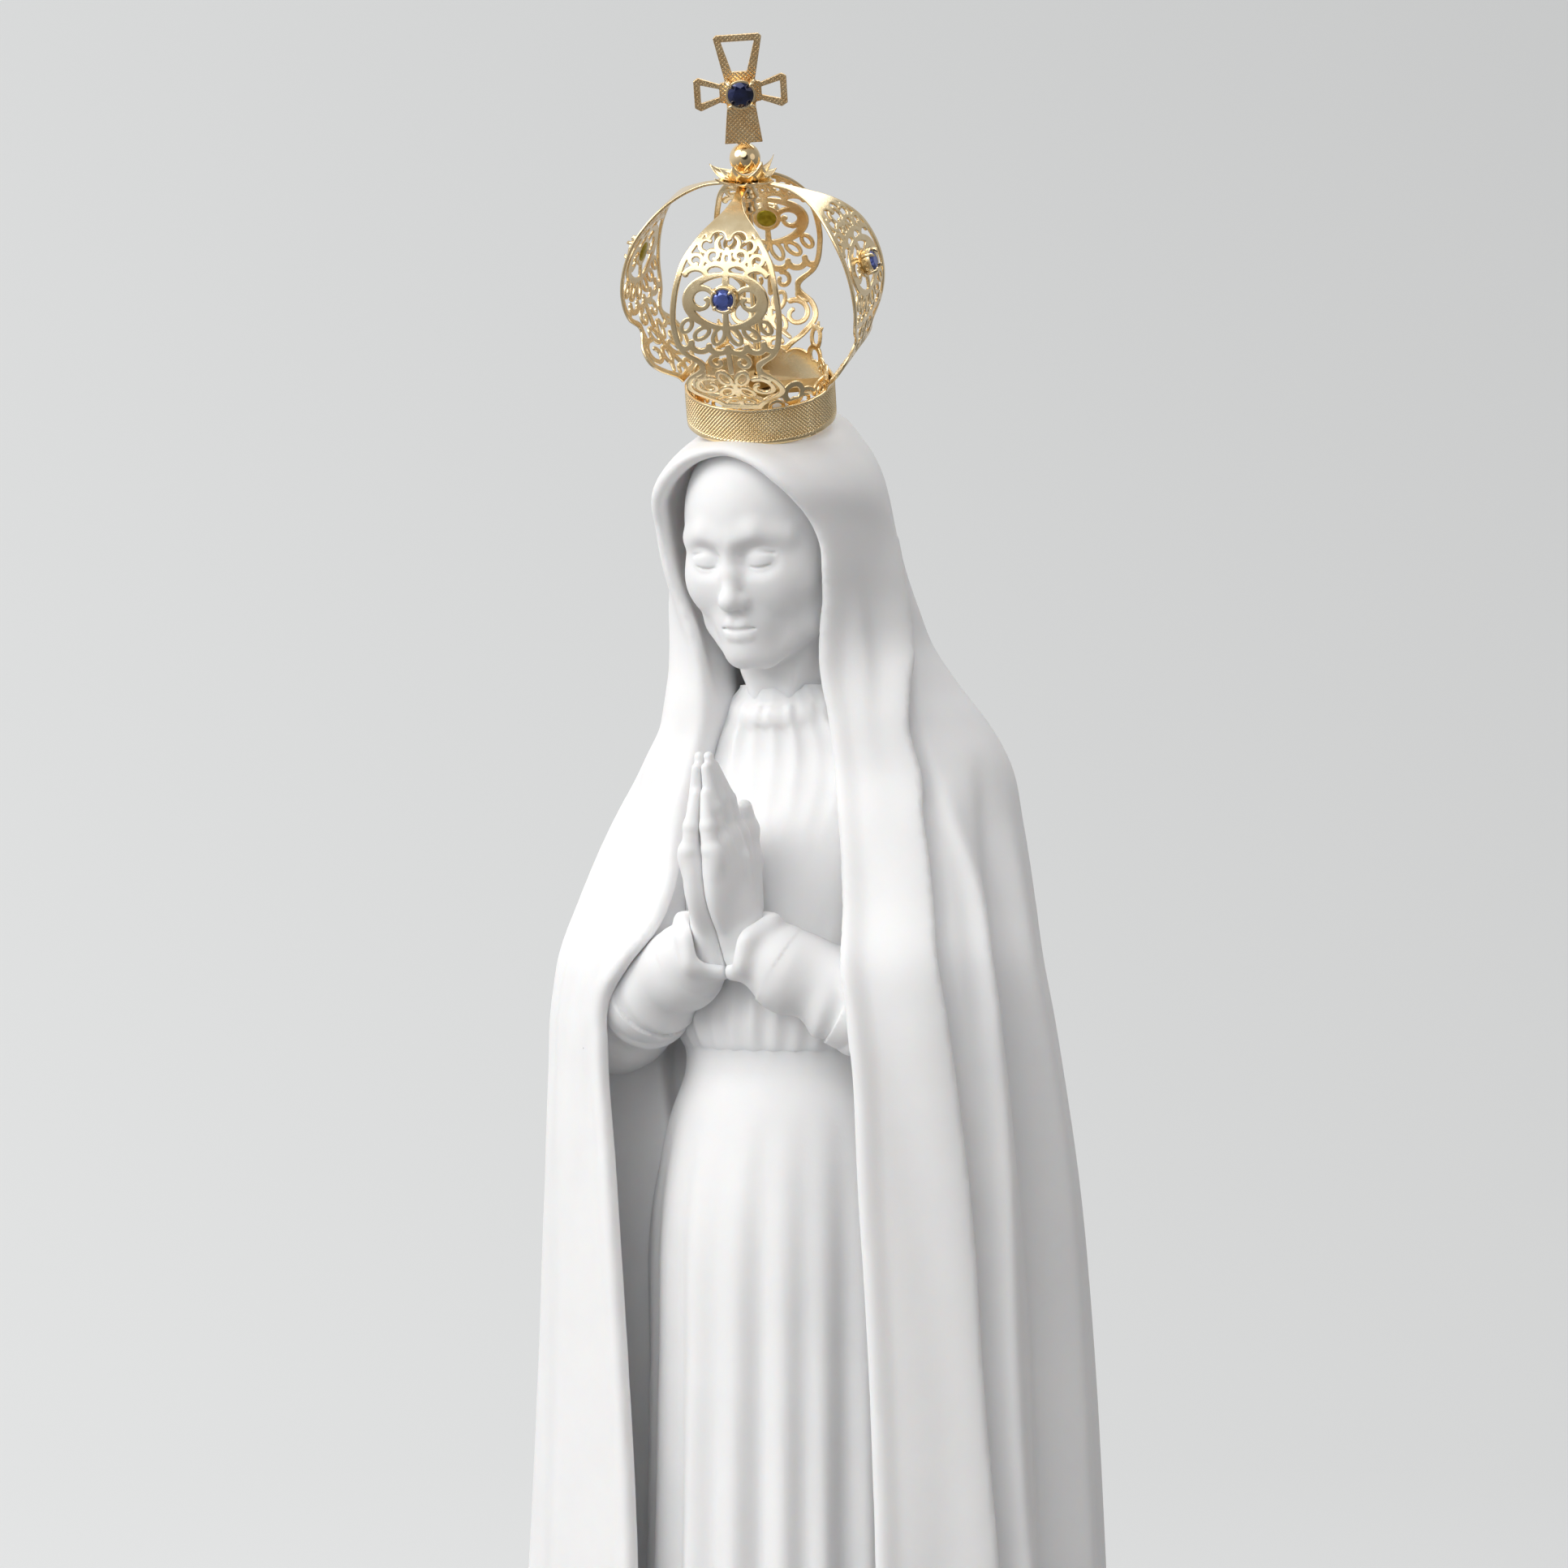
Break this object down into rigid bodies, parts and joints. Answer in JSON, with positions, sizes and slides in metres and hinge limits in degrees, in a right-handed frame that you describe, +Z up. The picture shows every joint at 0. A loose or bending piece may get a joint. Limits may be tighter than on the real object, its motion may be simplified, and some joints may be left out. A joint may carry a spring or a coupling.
{
  "type": "madonna statue",
  "caption": "Standing veiled figure with praying hands in matte white cast marble, wearing a removable gilt filigree crown with blue stones and a cross.",
  "frame": {"origin": "centre of the base's underside, on the surface it stands on", "axes": "+Z up the figure; the figure faces -Y and +X is towards its own left hand"},
  "size_m": [0.1097, 0.0947, 0.3837],
  "materials": {
    "marble": "matte white cast marble, faintly translucent",
    "gilt": "polished pale gold plate, satin where it is knurled or hatched",
    "sapphire": "faceted foil-backed blue crystal",
    "bare_brass": "unpolished brass",
    "felt": "glued felt"
  },
  "bodies": {
    "statue": {"plinth": "marble", "cloud": "marble", "foot_left": "marble", "foot_right": "marble", "skirt": "marble", "bodice": "marble", "head": "marble", "veil": "marble", "mantle_back": "marble", "mantle_left": "marble", "mantle_right": "marble", "sleeve_left": "marble", "sleeve_right": "marble", "hand_left": "marble", "hand_right": "marble", "base_pad": "felt", "crown_socket": "bare_brass"},
    "crown_pin": {"crown_rod": "gilt"},
    "crown": {"crown_band": "gilt", "crown_gallery": "gilt", "cone_ferrule": "gilt", "leaf_rosette": "gilt", "finial_ball": "gilt", "crown_cross": "gilt", "cross_setting": "gilt", "arch_front": "gilt", "arch_right": "gilt", "arch_back": "gilt", "arch_left": "gilt", "arch_setting_front": "gilt", "arch_setting_right": "gilt", "arch_setting_back": "gilt", "arch_setting_left": "gilt", "cross_gem": "sapphire", "arch_gem_front": "sapphire", "arch_gem_right": "sapphire", "arch_gem_back": "sapphire", "arch_gem_left": "sapphire", "crossbar": "bare_brass", "lock_nut": "bare_brass"}
  },
  "joints": [
    {"name": "crown_lift", "type": "slide", "parent": "statue", "child": "crown_pin", "axis": [0.1535, -0.4313, 0.889], "range_m": [0, 0.04]},
    {"name": "crown_turn", "type": "hinge", "parent": "crown_pin", "child": "crown", "pos_m": [0.0009, -0.016, 0.323], "axis": [0.1535, -0.4313, 0.889], "continuous": true}
  ]
}
